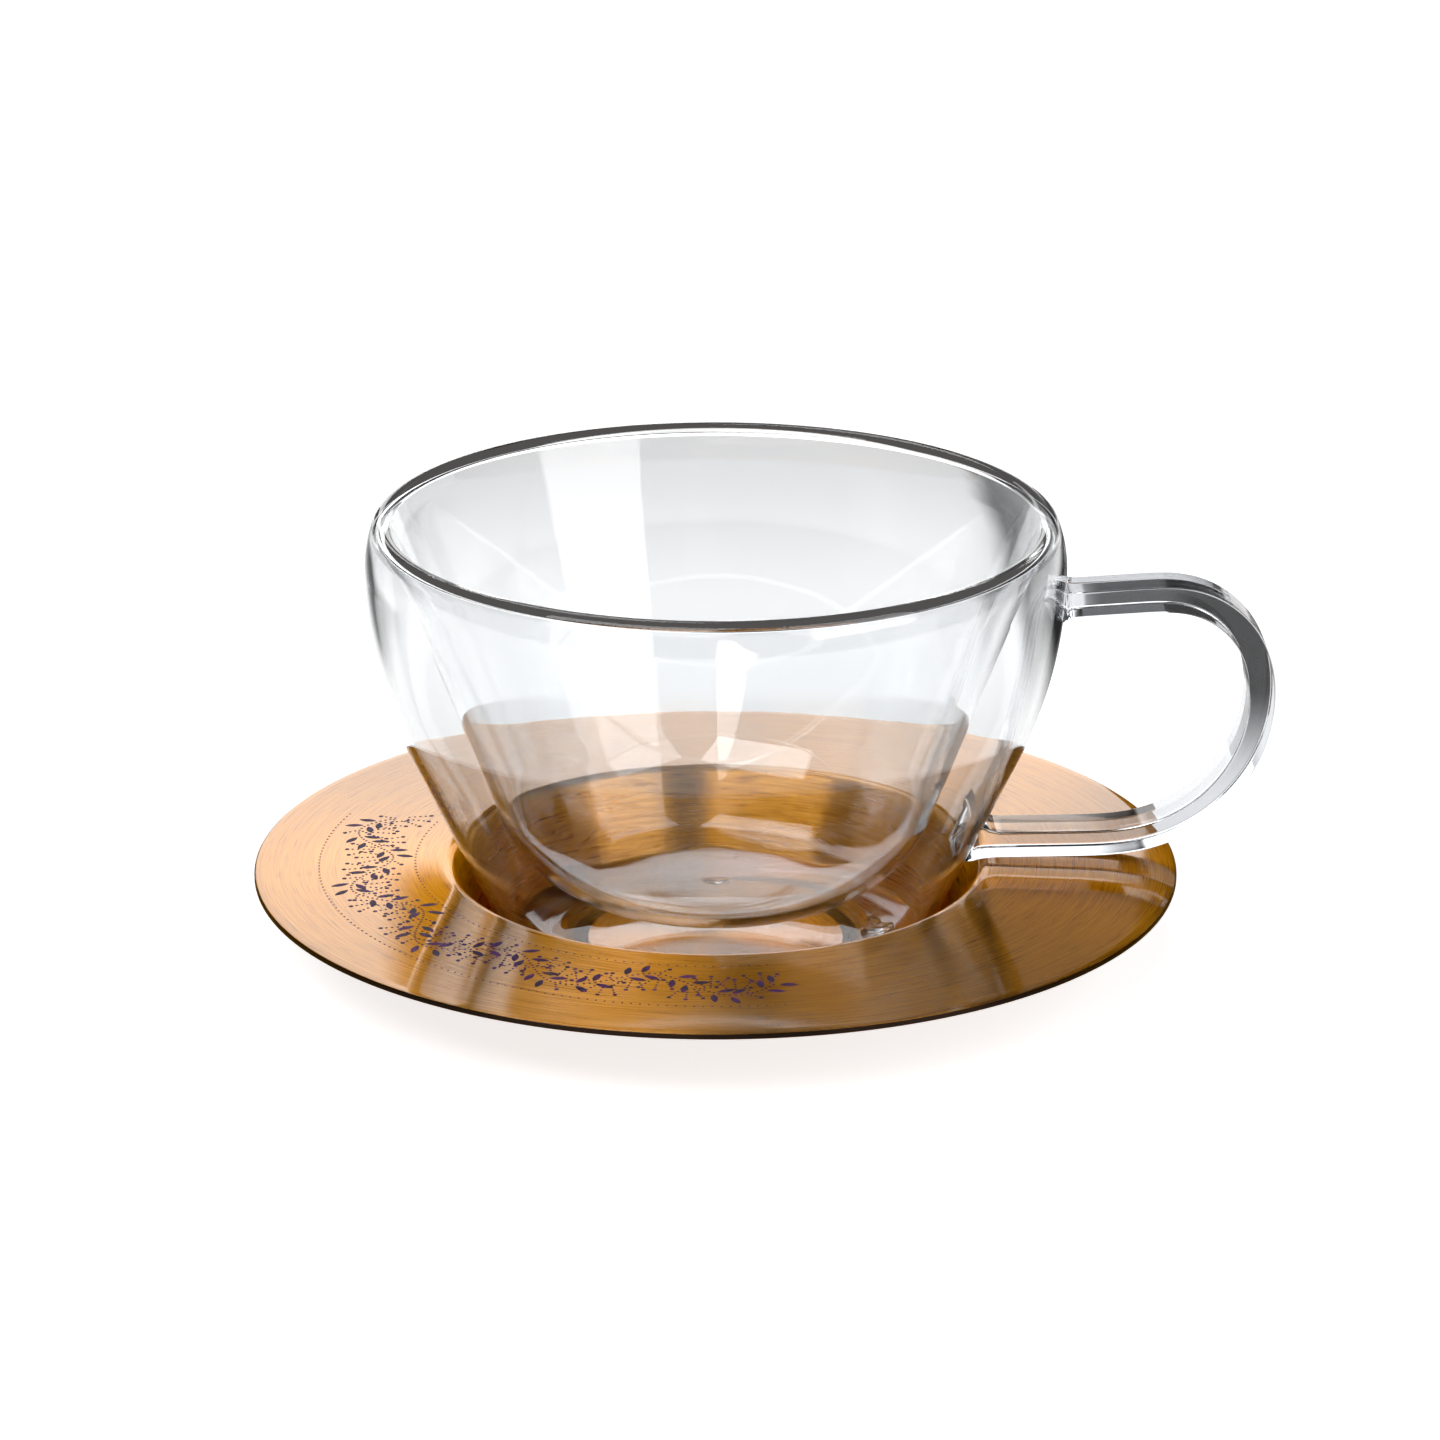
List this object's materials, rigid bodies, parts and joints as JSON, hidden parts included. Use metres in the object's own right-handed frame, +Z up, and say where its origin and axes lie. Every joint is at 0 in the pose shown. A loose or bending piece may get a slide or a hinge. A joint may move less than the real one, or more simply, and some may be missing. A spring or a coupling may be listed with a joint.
{
  "type": "double-walled glass cup and saucer",
  "caption": "Double-walled clear glass cup with a flat glass strap handle, standing in the round well of a flat-brimmed brushed bronze-coloured metal saucer.",
  "frame": {"origin": "centre of the saucer's flat underside, on the cup's and saucer's common axis", "axes": "+Z up along the common axis, +X from the axis towards the handle"},
  "size_m": [0.1544, 0.14, 0.0683],
  "materials": {
    "bronze_steel": "concentrically brushed steel with a bronze-coloured coating",
    "clear_glass": "clear, flame-polished"
  },
  "bodies": {
    "saucer": {"saucer": "bronze_steel"},
    "cup": {"outer_bowl": "clear_glass", "inner_bowl": "clear_glass", "handle": "clear_glass", "handle_upper_weld": "clear_glass", "handle_lower_weld": "clear_glass", "vent_seal": "clear_glass"}
  },
  "joints": [
    {"name": "cup_lift", "type": "slide", "parent": "saucer", "child": "cup", "axis": [0, 0, 1], "range_m": [0, 0.08]}
  ]
}
